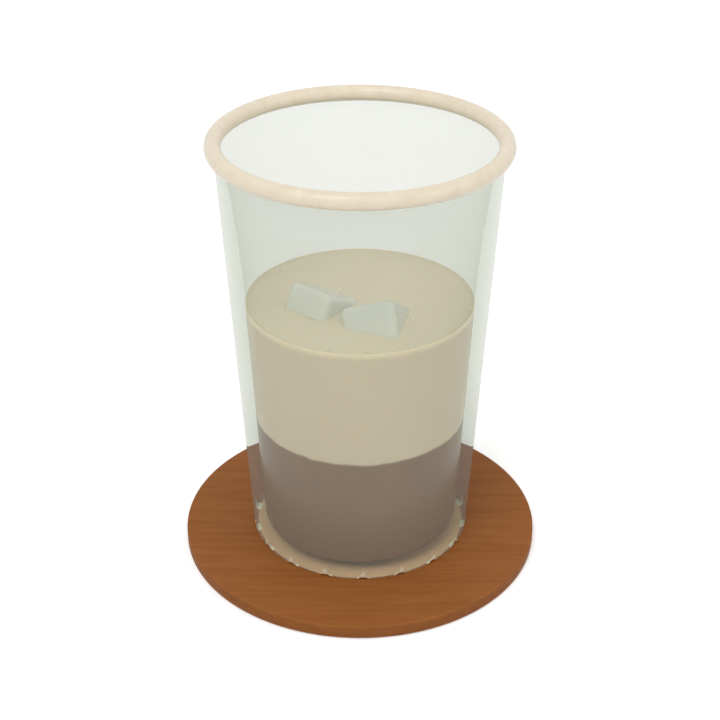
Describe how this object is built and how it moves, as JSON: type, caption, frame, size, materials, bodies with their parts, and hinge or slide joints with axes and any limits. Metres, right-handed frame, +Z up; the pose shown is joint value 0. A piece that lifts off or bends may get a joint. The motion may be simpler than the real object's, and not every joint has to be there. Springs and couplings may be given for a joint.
{
  "type": "iced coffee in glass",
  "caption": "Tapered thick-walled glass tumbler with a cream bead round its lip, holding layered iced coffee with floating ice, on a round wooden coaster.",
  "frame": {"origin": "centre of the coaster's underside, on the coaster's and the tumbler's axis", "axes": "+Z up along the axis, -Y towards the side where the ice blocks float"},
  "size_m": [0.1, 0.1, 0.121],
  "materials": {
    "coaster_wood": "satin",
    "clear_glass": "clear, faint grey-green tint",
    "cream_bead": "satin",
    "coffee": "dark coffee",
    "milky_coffee": "coffee with milk",
    "ice": "cloudy ice"
  },
  "bodies": {
    "root": {"coaster": "coaster_wood", "tumbler": "clear_glass", "rim_bead": "cream_bead", "coffee_layer": "coffee", "milky_coffee_layer": "milky_coffee", "ice_block_1": "ice", "ice_block_2": "ice"}
  },
  "joints": []
}
